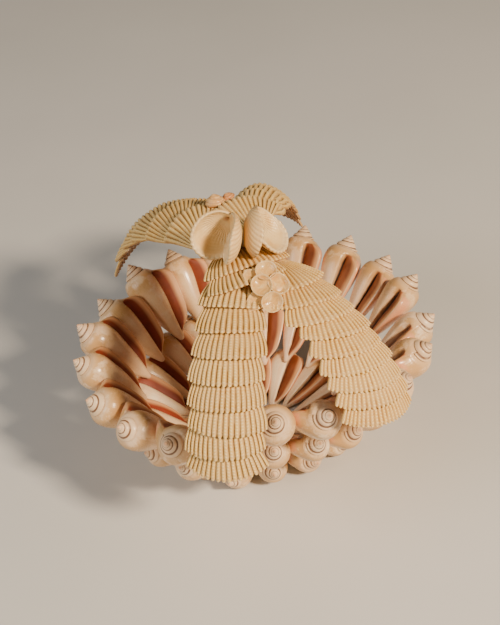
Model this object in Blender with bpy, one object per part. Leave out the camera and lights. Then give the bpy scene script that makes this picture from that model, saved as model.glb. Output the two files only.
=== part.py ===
import math
import random

import bmesh
import bpy
from mathutils import Matrix, Vector
from mathutils.bvhtree import BVHTree

MM = 0.001

# All sizes below are in millimetres and degrees.
GLUE_GAP = 0.3

# Conch shells: length, body radius at the shoulder, how far the lip stands out.
RIM_LENGTH = 50.0
RIM_BODY_R = 10.0
RIM_LIP = 7.1
RIM_COUNT = 21
RIM_RADIUS = 84.0
RIM_TILT = 45.0

MIDDLE_LENGTH = 43.0
MIDDLE_BODY_R = 8.3
MIDDLE_LIP = 6.2
MIDDLE_COUNT = 19
MIDDLE_RADIUS = 71.0
MIDDLE_TILT = 30.0

BASE_LENGTH = 42.0
BASE_BODY_R = 8.1
BASE_LIP = 5.8
BASE_COUNT = 14
BASE_RADIUS = 50.0
BASE_TILT = 12.0
FOOT_CUT = 0.7

# The bowl is a little shorter from front to back than from side to side.
OVAL = 0.06
# Added tilt of the shells at the very front, where the rings stand steeper.
RIM_STEEPER = 4.0
MIDDLE_STEEPER = 13.0
BASE_STEEPER = 9.0

# Handle: an elliptic arch, four legs of stacked arks and two crown arks over the front fork.
ARCH_TOP = 130.0
ARCH_FOOT = 55.0
# Azimuth of each leg and how far round the arch its last margin lies.
LEGS = {"front": ((-115.0, 82.0), (-66.0, 79.0)), "back": ((113.0, 80.0), (66.0, 80.0))}
LEG_ROWS = 12
LEG_HIDDEN_ROWS = 2
LEG_TOP_WIDTH = 28.0
LEG_FOOT_WIDTH = 39.0
# How far the sides of a leg hang below its crest, as a share of its width.
LEG_SAG = {"front": 0.17, "back": 0.34}
LEG_WALL = 2.0
LEG_STEP = 0.5
CROWN_RADIUS = 100.0
CROWN_WALL = 1.2
CROWN_ROWS = {"front": ((12.0, 33.0, 3.4), (19.5, 38.0, 5.6)), "back": ((13.0, 36.0, 3.4),)}

# Bow: two pairs of cockle valves, open like books, either side of the crown.
VALVE_LENGTH = 25.5
VALVE_WIDTH = 23.5
VALVE_DEPTH = 5.8
VALVE_WALL = 1.5
HINGE_APART = 6.3
HINGE_FORWARD = 8.0

# Where the two flowers stand, across and along the handle.
FLOWER_AT = (0.5, -34.0)
FLOWER_DROP = 12.0
BUTTON_AT = (-4.0, 32.0)

# Colours per kind of shell.
COLOURS = {
    "rim": ((0.80, 0.62, 0.48, 1.0), 0.30),
    "middle": ((0.82, 0.66, 0.52, 1.0), 0.32),
    "base": ((0.84, 0.70, 0.56, 1.0), 0.34),
    "handle": ((0.83, 0.71, 0.48, 1.0), 0.62),
    "bow": ((0.86, 0.76, 0.56, 1.0), 0.45),
    "flower": ((0.80, 0.52, 0.24, 1.0), 0.25),
}


def remove_all():
    for item in list(bpy.data.objects):
        bpy.data.objects.remove(item, do_unlink=True)
    for item in list(bpy.data.meshes):
        bpy.data.meshes.remove(item)


def collection(name):
    made = bpy.data.collections.new(name)
    bpy.context.scene.collection.children.link(made)
    return made


def principled(name, colour, rough):
    made = bpy.data.materials.new(name)
    made.use_nodes = True
    node = made.node_tree.nodes["Principled BSDF"]
    node.inputs["Base Color"].default_value = colour
    node.inputs["Roughness"].default_value = rough
    node.inputs["Metallic"].default_value = 0.0
    return made


def mesh_from(name, verts, faces):
    mesh = bpy.data.meshes.new(name)
    mesh.from_pydata([tuple(c * MM for c in v) for v in verts], [], faces)
    shape = bmesh.new()
    shape.from_mesh(mesh)
    bmesh.ops.recalc_face_normals(shape, faces=shape.faces)
    bmesh.ops.triangulate(shape, faces=shape.faces, quad_method="SHORT_EDGE")
    shape.to_mesh(mesh)
    shape.free()
    mesh.update()
    return mesh


def put(name, mesh, home, kind):
    made = bpy.data.objects.new(name, mesh)
    home.objects.link(made)
    colour, rough = COLOURS[kind]
    mesh.materials.clear()
    mesh.materials.append(principled(name + "_mat", colour, rough))
    return made


# The conch loft. Local Z runs to the spire, local Y to the mouth side, the lip lies at minus X.
# Each row: place along the length, body radius, lip height, depth of the slit (all as fractions).
FINE_ROWS = (
    (0.00, 0.19, 0.00, 0.00),
    (0.12, 0.34, 0.20, 0.20),
    (0.26, 0.54, 0.85, 0.50),
    (0.50, 0.84, 1.00, 0.55),
    (0.69, 1.00, 0.85, 0.42),
    (0.79, 0.94, 0.10, 0.06),
    (0.87, 0.58, 0.00, 0.00),
    (1.00, 0.06, 0.00, 0.00),
)
PLAIN_ROWS = (
    (0.00, 0.19, 0.00, 0.00),
    (0.25, 0.50, 0.70, 0.50),
    (0.48, 0.78, 0.98, 0.50),
    (0.70, 1.00, 0.88, 0.38),
    (0.80, 0.92, 0.05, 0.05),
    (0.87, 0.56, 0.00, 0.00),
    (1.00, 0.07, 0.00, 0.00),
)
SHOULDER = 0.73
# Angle round the axis, share of the slit depth, share of the lip.
FINE_RING = (
    (-5, 0, 0), (36, 0, 0), (74, 0, 0), (110, 0.06, 0), (128, 1, 0),
    (147, 0, 1), (168, 0, 0.50), (204, 0, 0.06), (250, 0, 0), (302, 0, 0),
)
PLAIN_RING = (
    (0, 0, 0), (56, 0, 0), (110, 0.06, 0), (128, 1, 0),
    (147, 0, 1), (171, 0, 0.50), (222, 0, 0), (292, 0, 0),
)


def conch_shape(length, body, lip, rows, ring):
    verts = []
    for along, wide, rise, slit in rows:
        z = (along - SHOULDER) * length
        for angle, deep, out in ring:
            r = body * wide * (1.0 - deep * slit) + lip * rise * out
            a = math.radians(angle)
            verts.append((r * math.cos(a), r * math.sin(a), z))
    n = len(ring)
    faces = []
    for i in range(len(rows) - 1):
        for j in range(n):
            k = (j + 1) % n
            faces.append((i * n + j, i * n + k, (i + 1) * n + k, (i + 1) * n + j))
    faces.append(tuple(range(n - 1, -1, -1)))
    faces.append(tuple((len(rows) - 1) * n + j for j in range(n)))
    return verts, faces


def oval_at(azimuth, radius):
    return radius * (1.0 - OVAL * math.sin(math.radians(azimuth)) ** 2)


def conch_place(azimuth, tilt, roll, radius, height, size):
    a = math.radians(azimuth)
    t = math.radians(tilt)
    out = Vector((math.cos(a), math.sin(a), 0.0))
    side = Vector((-math.sin(a), math.cos(a), 0.0))
    up = Vector((0.0, 0.0, 1.0))
    axis = out * math.cos(t) + up * math.sin(t)
    mouth = out * -math.sin(t) + up * math.cos(t)
    turn = Matrix((side, mouth, axis)).transposed().to_4x4()
    spin = Matrix.Rotation(math.radians(roll), 4, "Z")
    where = Matrix.Translation(out * oval_at(azimuth, radius) * MM + up * height * MM)
    return where @ turn @ spin @ Matrix.Scale(size, 4)


def grown(mesh, matrix, by):
    # Points and faces of a mesh moved into place and swelled a little, for touch tests.
    turn = matrix.to_3x3().normalized()
    points = []
    for v in mesh.vertices:
        points.append(matrix @ v.co + (turn @ v.normal).normalized() * by * MM)
    faces = [tuple(p.vertices) for p in mesh.polygons]
    return BVHTree.FromPolygons(points, faces)


def touching(mesh, matrix, trees):
    mine = grown(mesh, matrix, GLUE_GAP * 0.55)
    return any(mine.overlap(tree) for tree in trees)


def front_share(azimuth):
    # One at the very front of the bowl, falling to nothing at its sides.
    return max(0.0, -math.sin(math.radians(azimuth))) ** 4


def ring_of(kind, count, mesh, length, body, lip, radius, tilt, steeper, phase, seed, home, below):
    chance = random.Random(seed)
    sizes = [1.0 + chance.uniform(-0.045, 0.045) for _ in range(count)]
    tilts = [tilt + chance.uniform(-2.5, 2.5) for _ in range(count)]
    rolls = [chance.uniform(-9.0, 5.0) for _ in range(count)]
    steps = [(sizes[i] + sizes[(i + 1) % count]) / 2.0 for i in range(count)]
    turn = [phase]
    for i in range(count - 1):
        turn.append(turn[-1] + steps[i] * 360.0 / sum(steps))
    tilts = [tilts[i] + steeper * front_share(turn[i]) for i in range(count)]
    # The ring opens until neighbours clear one another.
    spread = radius - 4.0
    while True:
        clear = True
        for i in range(count):
            j = (i + 1) % count
            first = conch_place(turn[i], tilts[i], rolls[i], spread, 0.0, sizes[i])
            second = conch_place(turn[j], tilts[j], rolls[j], spread, 0.0, sizes[j])
            if touching(mesh, first, [grown(mesh, second, GLUE_GAP * 0.55)]):
                clear = False
                break
        if clear:
            break
        spread += 0.25
    rows = []
    for i in range(count):
        height = 0.0
        if below:
            # The shell is let down until it touches the ring under it.
            height = 90.0
            place = conch_place(turn[i], tilts[i], rolls[i], spread, height, sizes[i])
            for step in (1.0, 0.2):
                while True:
                    lower = conch_place(turn[i], tilts[i], rolls[i], spread, height - step, sizes[i])
                    if touching(mesh, lower, below):
                        break
                    height -= step
                    if height < 0.0:
                        break
        else:
            lowest = min((conch_place(turn[i], tilts[i], rolls[i], spread, 0.0, sizes[i]) @ v.co).z
                         for v in mesh.vertices)
            height = -lowest / MM - FOOT_CUT
        rows.append([turn[i], tilts[i], rolls[i], spread, height, sizes[i]])
    made = []
    for i, row in enumerate(rows):
        name = "%s_%02d" % (kind, i + 1)
        place = conch_place(*row)
        own = mesh.copy()
        own.name = name
        own.transform(place)
        made.append(put(name, own, home, kind))
        print("PLACE", name, " ".join("%.2f" % c for c in row))
    return made, rows


def trees_of(objects):
    return [grown(item.data, Matrix.Identity(4), GLUE_GAP * 0.55) for item in objects]


def boolean(item, other, how):
    step = item.modifiers.new("cut", "BOOLEAN")
    step.operation = how
    step.object = other
    step.solver = "MANIFOLD"
    bpy.context.view_layer.update()
    shape = bpy.data.meshes.new_from_object(item.evaluated_get(bpy.context.evaluated_depsgraph_get()))
    item.modifiers.remove(step)
    old = item.data
    item.data = shape
    bpy.data.meshes.remove(old)


def fill_hollows(item):
    # Where legs and crown close a pocket between them, its inner skin is taken out.
    shape = bmesh.new()
    shape.from_mesh(item.data)
    seen = set()
    skins = []
    for face in shape.faces:
        if face in seen:
            continue
        skin, queue = [], [face]
        seen.add(face)
        while queue:
            now = queue.pop()
            skin.append(now)
            for edge in now.edges:
                for other in edge.link_faces:
                    if other not in seen:
                        seen.add(other)
                        queue.append(other)
        held = 0.0
        for f in skin:
            first = f.verts[0].co
            for i in range(1, len(f.verts) - 1):
                held += first.dot(f.verts[i].co.cross(f.verts[i + 1].co)) / 6.0
        skins.append((held, skin))
    for held, skin in skins:
        if held < 0.0:
            bmesh.ops.delete(shape, geom=skin, context="FACES")
    shape.to_mesh(item.data)
    shape.free()


def tidy_mesh(item):
    shape = bmesh.new()
    shape.from_mesh(item.data)
    bmesh.ops.remove_doubles(shape, verts=shape.verts, dist=0.000002)
    bmesh.ops.dissolve_degenerate(shape, edges=shape.edges, dist=0.000002)
    bmesh.ops.triangulate(shape, faces=shape.faces)
    bmesh.ops.recalc_face_normals(shape, faces=shape.faces)
    shape.to_mesh(item.data)
    shape.free()
    item.data.update()


def box_mesh(name, low, high):
    verts = [(x, y, z) for x in (low[0], high[0]) for y in (low[1], high[1]) for z in (low[2], high[2])]
    faces = [(0, 1, 3, 2), (4, 6, 7, 5), (0, 4, 5, 1), (2, 3, 7, 6), (0, 2, 6, 4), (1, 5, 7, 3)]
    return mesh_from(name, verts, faces)


def arch_point(angle, radius, top):
    u = math.radians(angle)
    rise = top - ARCH_FOOT
    point = Vector((radius * math.sin(u), ARCH_FOOT + rise * math.cos(u)))
    slope = Vector((radius * math.cos(u), -rise * math.sin(u))).normalized()
    return point, Vector((-slope.y, slope.x))


def tooth_rows(end):
    # The arks nearest the crown lie hidden under it and share one tooth.
    rows = [(-9.0, 0.9 * LEG_TOP_WIDTH, 0.3), (6.0, 0.92 * LEG_TOP_WIDTH, 0.6)]
    for i in range(LEG_HIDDEN_ROWS, LEG_ROWS):
        share = i / (LEG_ROWS - 1)
        top = end * i / LEG_ROWS
        foot = end * (i + 1) / LEG_ROWS
        wide = LEG_TOP_WIDTH + (LEG_FOOT_WIDTH - LEG_TOP_WIDTH) * share
        if i > LEG_HIDDEN_ROWS:
            rows.append((top + 0.6, 0.84 * wide, 0.0))
        rows.append((foot, wide, 2.4))
    return rows


def crown_rows(side):
    rows = []
    last = -12.0
    for foot, wide, proud in CROWN_ROWS[side]:
        rows.append((last + 0.6, 0.86 * wide, proud - 2.0))
        rows.append((foot, wide, proud))
        last = foot
    return rows


def leg_shape(azimuth, radius, top, rows, wall, sagging):
    # Outer face: one saw tooth for each ark, wide and proud at its margin.
    a = math.radians(azimuth)
    out = Vector((math.cos(a), math.sin(a), 0.0))
    side = Vector((-math.sin(a), math.cos(a), 0.0))
    columns = (-1.0, -0.55, 0.0, 0.55, 1.0)
    outer, inner = [], []
    for angle, wide, proud in rows:
        for c in columns:
            point, normal = arch_point(angle - 3.2 * c * c, radius, top)
            sag = sagging * wide * c * c
            for put_in, lift in ((outer, proud), (inner, -wall)):
                p = point + normal * (lift - sag)
                put_in.append(out * p.x + side * (c * wide * 0.5) + Vector((0, 0, p.y)))
    n, m = len(columns), len(rows)
    base = len(outer)
    faces = []
    for i in range(m - 1):
        for j in range(n - 1):
            q = (i * n + j, i * n + j + 1, (i + 1) * n + j + 1, (i + 1) * n + j)
            faces.append(q)
            faces.append(tuple(base + k for k in reversed(q)))
        for j in (0, n - 1):
            q = (i * n + j, (i + 1) * n + j, base + (i + 1) * n + j, base + i * n + j)
            faces.append(q if j == 0 else tuple(reversed(q)))
    for i in (0, m - 1):
        for j in range(n - 1):
            q = (i * n + j, i * n + j + 1, base + i * n + j + 1, base + i * n + j)
            faces.append(q if i == m - 1 else tuple(reversed(q)))
    return outer + inner, faces


def leg_clear(azimuth, end, top, sagging, trees):
    # The foot of the leg comes in until its inner face is just off the spires.
    least = RIM_RADIUS + 0.3 * RIM_LENGTH
    radius = least + 13.0
    while radius > least:
        mesh = mesh_from("try", *leg_shape(azimuth, radius - 0.25, top, tooth_rows(end), LEG_WALL, sagging))
        hit = touching(mesh, Matrix.Identity(4), trees)
        bpy.data.meshes.remove(mesh)
        if hit:
            break
        radius -= 0.25
    return radius


def handle_half(side, home, tools, rim_trees):
    parts = []
    sagging = LEG_SAG[side]
    # The second leg starts a little lower, so the two surfaces cross cleanly.
    for (azimuth, end), top in zip(LEGS[side], (ARCH_TOP, ARCH_TOP - LEG_STEP)):
        radius = leg_clear(azimuth, end, top, sagging, rim_trees)
        print("LEG", side, azimuth, radius)
        parts.append(leg_shape(azimuth, radius, top, tooth_rows(end), LEG_WALL, sagging))
    middle = -90.0 if side == "front" else 90.0
    parts.append(leg_shape(middle, CROWN_RADIUS, ARCH_TOP, crown_rows(side), CROWN_WALL, LEG_SAG["front"]))
    made = put("handle_" + side, mesh_from("handle_" + side, *parts[0]), home, "handle")
    for i, shape in enumerate(parts[1:]):
        other = bpy.data.objects.new("add_%s_%d" % (side, i), mesh_from("add", *shape))
        tools.objects.link(other)
        boolean(made, other, "UNION")
    # Each half stops just short of the middle, so that the two halves meet with a glue line.
    edge = GLUE_GAP * 0.5
    reach = RIM_RADIUS + RIM_LENGTH + 16.0
    high = ARCH_TOP + 70.0
    if side == "front":
        keep = box_mesh("keep", (-reach, -reach, 0), (reach, -edge, high))
    else:
        keep = box_mesh("keep", (-reach, edge, 0), (reach, reach, high))
    other = bpy.data.objects.new("keep_" + side, keep)
    tools.objects.link(other)
    boolean(made, other, "INTERSECT")
    fill_hollows(made)
    tidy_mesh(made)
    return made


def valve_shape():
    # A shallow ribbed dome: hinge at the origin, margin along plus X, hollow side towards plus Z.
    verts, faces = [], []
    n = 10
    rings = (0.45, 0.8, 1.0)
    for wall in (0.0, VALVE_WALL):
        deep = VALVE_DEPTH - wall
        verts.append((VALVE_LENGTH * 0.42, 0.0, -deep))
        for r in rings:
            for k in range(n):
                a = 2.0 * math.pi * k / n
                x = VALVE_LENGTH * 0.5 * (1.0 + r * math.cos(a)) - (1.0 - r) * VALVE_LENGTH * 0.08
                y = VALVE_WIDTH * 0.5 * r * math.sin(a)
                z = -deep * (1.0 - r * r) if r < 1.0 else 0.0
                scale = 1.0 if wall == 0.0 or r < 1.0 else 0.93
                verts.append((VALVE_LENGTH * 0.5 + (x - VALVE_LENGTH * 0.5) * scale, y * scale, z))
    count = 1 + n * len(rings)
    for side in range(2):
        o = side * count
        for k in range(n):
            j = (k + 1) % n
            faces.append((o, o + 1 + k, o + 1 + j))
            for i in range(len(rings) - 1):
                faces.append((o + 1 + i * n + k, o + 1 + (i + 1) * n + k,
                              o + 1 + (i + 1) * n + j, o + 1 + i * n + j))
    last = 1 + (len(rings) - 1) * n
    for k in range(n):
        j = (k + 1) % n
        faces.append((last + k, count + last + k, count + last + j, last + j))
    return verts, faces


def frame_of(origin, along, hollow):
    x = Vector(along).normalized()
    z = Vector(hollow)
    z = (z - x * z.dot(x)).normalized()
    y = z.cross(x)
    turn = Matrix((x, y, z)).transposed().to_4x4()
    return Matrix.Translation(Vector(origin) * MM) @ turn


# Hinge point, then margin direction and hollow direction of the far and of the near valve.
BOW = {
    "bow_left": ((-HINGE_APART, -HINGE_FORWARD, 0.0), ((-0.72, -0.2, -0.62), (0.1, -0.85, 0.35)),
                 ((-0.06, -0.74, -0.54), (-1.0, 0.0, 0.0))),
    "bow_right": ((HINGE_APART, -HINGE_FORWARD, 0.0), ((0.72, -0.2, -0.62), (-0.1, -0.85, 0.35)),
                  ((0.06, -0.74, -0.54), (1.0, 0.0, 0.0))),
}


def lowered(mesh, trees, start, finish):
    # Height at which a piece let down from start first touches the pieces under it.
    height = start
    for step in (1.0, 0.1):
        while height > finish:
            if touching(mesh, Matrix.Translation((0, 0, (height - step) * MM)), trees):
                break
            height -= step
    return height


def bow_pair(name, home, tools, trees):
    hinge, far, near = BOW[name]
    made = put(name, mesh_from(name, *valve_shape()), home, "bow")
    made.data.transform(frame_of(hinge, *far))
    other = bpy.data.objects.new(name + "_near", mesh_from(name + "_near", *valve_shape()))
    other.data.transform(frame_of(hinge, *near))
    tools.objects.link(other)
    boolean(made, other, "UNION")
    tidy_mesh(made)
    height = lowered(made.data, trees, ARCH_TOP + 60.0, ARCH_TOP - 30.0)
    made.data.transform(Matrix.Translation((0, 0, height * MM)))
    print("BOW", name, height)
    return made


def lathe(points, n):
    # Closed body of revolution from (radius, height) pairs; a zero radius gives a single point.
    verts, faces, rows = [], [], []
    for r, z in points:
        if r == 0.0:
            rows.append([len(verts)] * n)
            verts.append((0.0, 0.0, z))
        else:
            rows.append([len(verts) + k for k in range(n)])
            for k in range(n):
                a = 2.0 * math.pi * k / n
                verts.append((r * math.cos(a), r * math.sin(a), z))
    for i in range(len(rows) - 1):
        for k in range(n):
            j = (k + 1) % n
            q = [rows[i][k], rows[i][j], rows[i + 1][j], rows[i + 1][k]]
            q = [v for at, v in enumerate(q) if v not in q[:at]]
            if len(q) > 2:
                faces.append(tuple(q))
    return verts, faces


CUP = ((0.0, -2.6), (3.0, -2.3), (5.2, 0.4), (4.4, 0.4), (2.4, -1.2), (0.0, -1.5))
# Cup centres across and up the face of the flower.
CUPS = ((-0.5, 7.4), (-5.6, 0.6), (5.4, 0.9), (0.6, -8.4))
LEAVES = (((-5.0, 6.0), 118.0), ((-5.6, -5.0), 215.0))


def flower_front(home, tools, trees):
    name = "flower_front"
    hub = lathe(((0.0, -4.5), (7.0, -2.8), (6.6, -0.8), (0.0, -0.4)), 8)
    made = put(name, mesh_from(name, *hub), home, "flower")
    pieces = []
    for x, y in CUPS:
        cup = mesh_from("cup", *lathe(CUP, 6))
        lean = Vector((x * 0.035, y * 0.035, 1.0))
        cup.transform(frame_of((x, y, 0.6), (1.0, 0.0, -x * 0.035), lean))
        pieces.append(cup)
    for (x, y), angle in LEAVES:
        leaf = mesh_from("leaf", *lathe(((0.0, -0.9), (4.6, -0.3), (0.0, 0.4)), 7))
        a = math.radians(angle)
        leaf.transform(frame_of((x, y, -2.4), (math.cos(a), math.sin(a), -0.1), (0.0, 0.0, 1.0))
                       @ Matrix.Diagonal((1.25, 0.8, 1.0, 1.0)))
        pieces.append(leaf)
    for i, mesh in enumerate(pieces):
        other = bpy.data.objects.new("petal_%d" % i, mesh)
        tools.objects.link(other)
        boolean(made, other, "UNION")
    tidy_mesh(made)
    # The face looks forward and up; the flower comes back until it meets the fork.
    face = Vector((0.0, -0.62, 0.78))
    across = Vector((1.0, 0.0, 0.0))
    turn = frame_of((0.0, 0.0, 0.0), across, face)
    made.data.transform(turn)
    far = 40.0
    at = Vector((*FLOWER_AT, ARCH_TOP - FLOWER_DROP))
    for step in (1.0, 0.1):
        while far > -20.0:
            if touching(made.data, Matrix.Translation((at + face * (far - step)) * MM), trees):
                break
            far -= step
    made.data.transform(Matrix.Translation((at + face * far) * MM))
    print("FLOWER", far, at + face * far)
    return made


def flower_back(home, tools, trees):
    name = "flower_back"
    big = lathe(((0.0, -0.5), (4.6, -0.2), (5.4, 1.8), (3.6, 4.0), (0.0, 5.8)), 8)
    made = put(name, mesh_from(name, *big), home, "flower")
    small = mesh_from("small", *lathe(((0.0, -0.4), (3.4, -0.2), (4.0, 1.3), (0.0, 3.6)), 7))
    small.transform(frame_of((7.6, 0.4, 0.2), (1.0, 0.0, 0.25), (-0.25, 0.1, 1.0)))
    dab = mesh_from("dab", *lathe(((0.0, -1.6), (3.6, -1.4), (4.2, 0.4), (0.0, 1.0)), 8))
    dab.transform(Matrix.Translation((3.6 * MM, 0, 0)) @ Matrix.Diagonal((1.5, 0.9, 1.0, 1.0)))
    for i, mesh in enumerate((small, dab)):
        other = bpy.data.objects.new("button_%d" % i, mesh)
        tools.objects.link(other)
        boolean(made, other, "UNION")
    tidy_mesh(made)
    made.data.transform(frame_of((*BUTTON_AT, 0.0), (1.0, 0.15, 0.0), (0.0, 0.25, 1.0)))
    height = lowered(made.data, trees, ARCH_TOP + 30.0, ARCH_TOP - 30.0)
    made.data.transform(Matrix.Translation((0, 0, height * MM)))
    print("BUTTON", height)
    return made


def build():
    remove_all()
    home = collection("shell_basket")
    tools = collection("cutters")

    rim_mesh = mesh_from("rim", *conch_shape(RIM_LENGTH, RIM_BODY_R, RIM_LIP, FINE_ROWS, FINE_RING))
    middle_mesh = mesh_from("middle", *conch_shape(MIDDLE_LENGTH, MIDDLE_BODY_R, MIDDLE_LIP, PLAIN_ROWS, PLAIN_RING))
    base_mesh = mesh_from("base", *conch_shape(BASE_LENGTH, BASE_BODY_R, BASE_LIP, PLAIN_ROWS, PLAIN_RING))

    base, base_rows = ring_of("base", BASE_COUNT, base_mesh, BASE_LENGTH, BASE_BODY_R, BASE_LIP,
                              BASE_RADIUS, BASE_TILT, BASE_STEEPER, -76.0, 5, home, None)
    middle, middle_rows = ring_of("middle", MIDDLE_COUNT, middle_mesh, MIDDLE_LENGTH, MIDDLE_BODY_R, MIDDLE_LIP,
                                  MIDDLE_RADIUS, MIDDLE_TILT, MIDDLE_STEEPER, -82.0, 11, home, trees_of(base))
    rim, rim_rows = ring_of("rim", RIM_COUNT, rim_mesh, RIM_LENGTH, RIM_BODY_R, RIM_LIP,
                            RIM_RADIUS, RIM_TILT, RIM_STEEPER, -83.4, 3, home, trees_of(middle))
    rim_trees = trees_of(rim)
    halves = [handle_half(side, home, tools, rim_trees) for side in ("front", "back")]
    under = trees_of(halves)
    bows = []
    for name in ("bow_left", "bow_right"):
        bows.append(bow_pair(name, home, tools, under + trees_of(bows)))
    top = under + trees_of(bows)
    flower_front(home, tools, top)
    flower_back(home, tools, top)
    for item in list(tools.objects):
        mesh = item.data
        bpy.data.objects.remove(item, do_unlink=True)
        bpy.data.meshes.remove(mesh)
    # The feet are ground flat on the table plane.
    for item in base:
        shape = bmesh.new()
        shape.from_mesh(item.data)
        every = shape.verts[:] + shape.edges[:] + shape.faces[:]
        bmesh.ops.bisect_plane(shape, geom=every, plane_co=(0, 0, 0), plane_no=(0, 0, -1), clear_outer=True)
        bmesh.ops.holes_fill(shape, edges=[e for e in shape.edges if e.is_boundary], sides=0)
        bmesh.ops.remove_doubles(shape, verts=shape.verts, dist=0.00001)
        bmesh.ops.triangulate(shape, faces=shape.faces)
        bmesh.ops.recalc_face_normals(shape, faces=shape.faces)
        shape.to_mesh(item.data)
        shape.free()
    total = 0
    low, high = Vector((9, 9, 9)), Vector((-9, -9, -9))
    for item in home.objects:
        item.data.calc_loop_triangles()
        total += len(item.data.loop_triangles)
        for v in item.data.vertices:
            for k in range(3):
                low[k] = min(low[k], v.co[k])
                high[k] = max(high[k], v.co[k])
    # The box of the whole object is centred over the origin.
    shift = Matrix.Translation((-(low.x + high.x) / 2.0, -(low.y + high.y) / 2.0, -low.z))
    for item in home.objects:
        item.data.transform(shift)
    for item in home.objects:
        if item.name.endswith("01") or "_" in item.name and not item.name[-1].isdigit():
            print("TRIS", item.name, len(item.data.loop_triangles))
    print("TOTAL", len(home.objects), total, [round(c / MM, 1) for c in (high - low)],
          [round(c / MM, 2) for c in shift.to_translation()])


build()
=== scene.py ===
import math
import random

import bpy
from mathutils import Matrix, Vector, noise


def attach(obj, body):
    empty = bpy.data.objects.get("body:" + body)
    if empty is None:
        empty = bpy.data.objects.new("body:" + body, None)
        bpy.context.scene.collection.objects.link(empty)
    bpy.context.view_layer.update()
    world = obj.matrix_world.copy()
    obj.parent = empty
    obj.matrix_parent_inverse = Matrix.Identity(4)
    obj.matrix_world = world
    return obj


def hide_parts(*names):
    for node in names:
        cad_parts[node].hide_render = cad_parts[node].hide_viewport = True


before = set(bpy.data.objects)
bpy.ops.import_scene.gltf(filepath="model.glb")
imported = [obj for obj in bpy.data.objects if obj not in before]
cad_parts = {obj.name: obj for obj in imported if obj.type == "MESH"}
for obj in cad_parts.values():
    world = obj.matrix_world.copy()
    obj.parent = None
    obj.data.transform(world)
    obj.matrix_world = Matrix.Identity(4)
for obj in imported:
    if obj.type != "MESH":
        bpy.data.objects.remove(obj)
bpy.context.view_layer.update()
millimetre = 0.001
mergeGap = 0.00001  # Points nearer than this become one.
print("frame loaded:", len(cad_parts), "nodes")


# General helpers.

def clearSelection():
    bpy.ops.object.select_all(action="DESELECT")


def pick(item):
    clearSelection()
    item.select_set(True)
    bpy.context.view_layer.objects.active = item


def editWhole(item, step, **settings):
    # One edit mode operator on the whole of a piece.
    pick(item)
    bpy.ops.object.mode_set(mode="EDIT")
    bpy.ops.mesh.select_all(action="SELECT")
    step(**settings)
    bpy.ops.object.mode_set(mode="OBJECT")


def mix(first, second, share):
    return first + (second - first) * share


def ease(value, low, high):
    share = min(1.0, max(0.0, (value - low) / (high - low)))
    return share * share * (3.0 - 2.0 * share)


def curveAt(points, where):
    # A smooth line through (place, value) pairs.
    if where <= points[0][0]:
        return points[0][1]
    if where >= points[-1][0]:
        return points[-1][1]
    at = 0
    while points[at + 1][0] < where:
        at += 1
    last = len(points) - 1

    def slope(k):
        a, b = points[max(0, k - 1)], points[min(last, k + 1)]
        return (b[1] - a[1]) / (b[0] - a[0])

    (x0, y0), (x1, y1) = points[at], points[at + 1]
    wide = x1 - x0
    s = (where - x0) / wide
    m0, m1 = slope(at) * wide, slope(at + 1) * wide
    return ((2 * s ** 3 - 3 * s * s + 1) * y0 + (s ** 3 - 2 * s * s + s) * m0
            + (3 * s * s - 2 * s ** 3) * y1 + (s ** 3 - s * s) * m1)


def writeAttribute(item, name, values):
    made = item.data.attributes.get(name) or item.data.attributes.new(name, "FLOAT", "POINT")
    made.data.foreach_set("value", values)


def markWhole(item, **marks):
    for name, value in marks.items():
        writeAttribute(item, name, [value] * len(item.data.vertices))


def shapedGrid(name, across, along, pointAt):
    # A flat grid is added, and each of its points is pulled to the place that pointAt gives.
    clearSelection()
    bpy.ops.mesh.primitive_grid_add(x_subdivisions=across, y_subdivisions=along, size=2.0)
    made = bpy.context.object
    made.name = name
    places, marks = [], {}
    for vertex in made.data.vertices:
        i = round((vertex.co.x + 1.0) * 0.5 * across)
        j = round((vertex.co.y + 1.0) * 0.5 * along)
        place, notes = pointAt(i, j)
        places.extend(c * millimetre for c in place)
        for key, value in notes.items():
            marks.setdefault(key, []).append(value)
    made.data.vertices.foreach_set("co", places)
    for key, values in marks.items():
        writeAttribute(made, key, values)
    made.data.update()
    return made


def weld(item, gap):
    editWhole(item, bpy.ops.mesh.remove_doubles, threshold=gap)
    editWhole(item, bpy.ops.mesh.normals_make_consistent, inside=False)
    bpy.ops.object.shade_smooth()


def applyAll(item):
    pick(item)
    for step in list(item.modifiers):
        bpy.ops.object.modifier_apply(modifier=step.name)


def copyOf(item, name, matrix):
    made = item.copy()
    made.data = item.data.copy()
    made.name = made.data.name = name
    bpy.context.scene.collection.objects.link(made)
    made.data.transform(matrix)
    return made


def joined(name, items):
    clearSelection()
    for item in items:
        item.select_set(True)
    bpy.context.view_layer.objects.active = items[0]
    bpy.ops.object.join()
    items[0].name = items[0].data.name = name
    return items[0]


def dress(item, material):
    item.data.materials.clear()
    item.data.materials.append(material)


def standFor(item, slotName, *nodes):
    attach(item, "root")
    if nodes:
        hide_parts(*nodes)


# Nodes for the materials.

def addNode(tree, kind, **settings):
    made = tree.nodes.new("ShaderNode" + kind)
    for key, value in settings.items():
        setattr(made, key, value)
    return made


def feed(tree, socket, value):
    if isinstance(value, bpy.types.NodeSocket):
        tree.links.new(value, socket)
    else:
        socket.default_value = value


def feedAll(tree, made, values):
    for key, value in values.items():
        feed(tree, made.inputs[key], value)
    return made.outputs


def attributes(tree, *names):
    return [addNode(tree, "Attribute", attribute_name=name).outputs["Fac"] for name in names]


def place(tree):
    return addNode(tree, "TexCoord").outputs["Object"]


def speckle(tree, scale, detail=3.0, rough=0.55, vector=None, warp=0.0):
    return feedAll(tree, addNode(tree, "TexNoise"), {
        "Vector": vector or place(tree), "Scale": scale, "Detail": detail, "Roughness": rough,
        "Distortion": warp})["Fac"]


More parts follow.
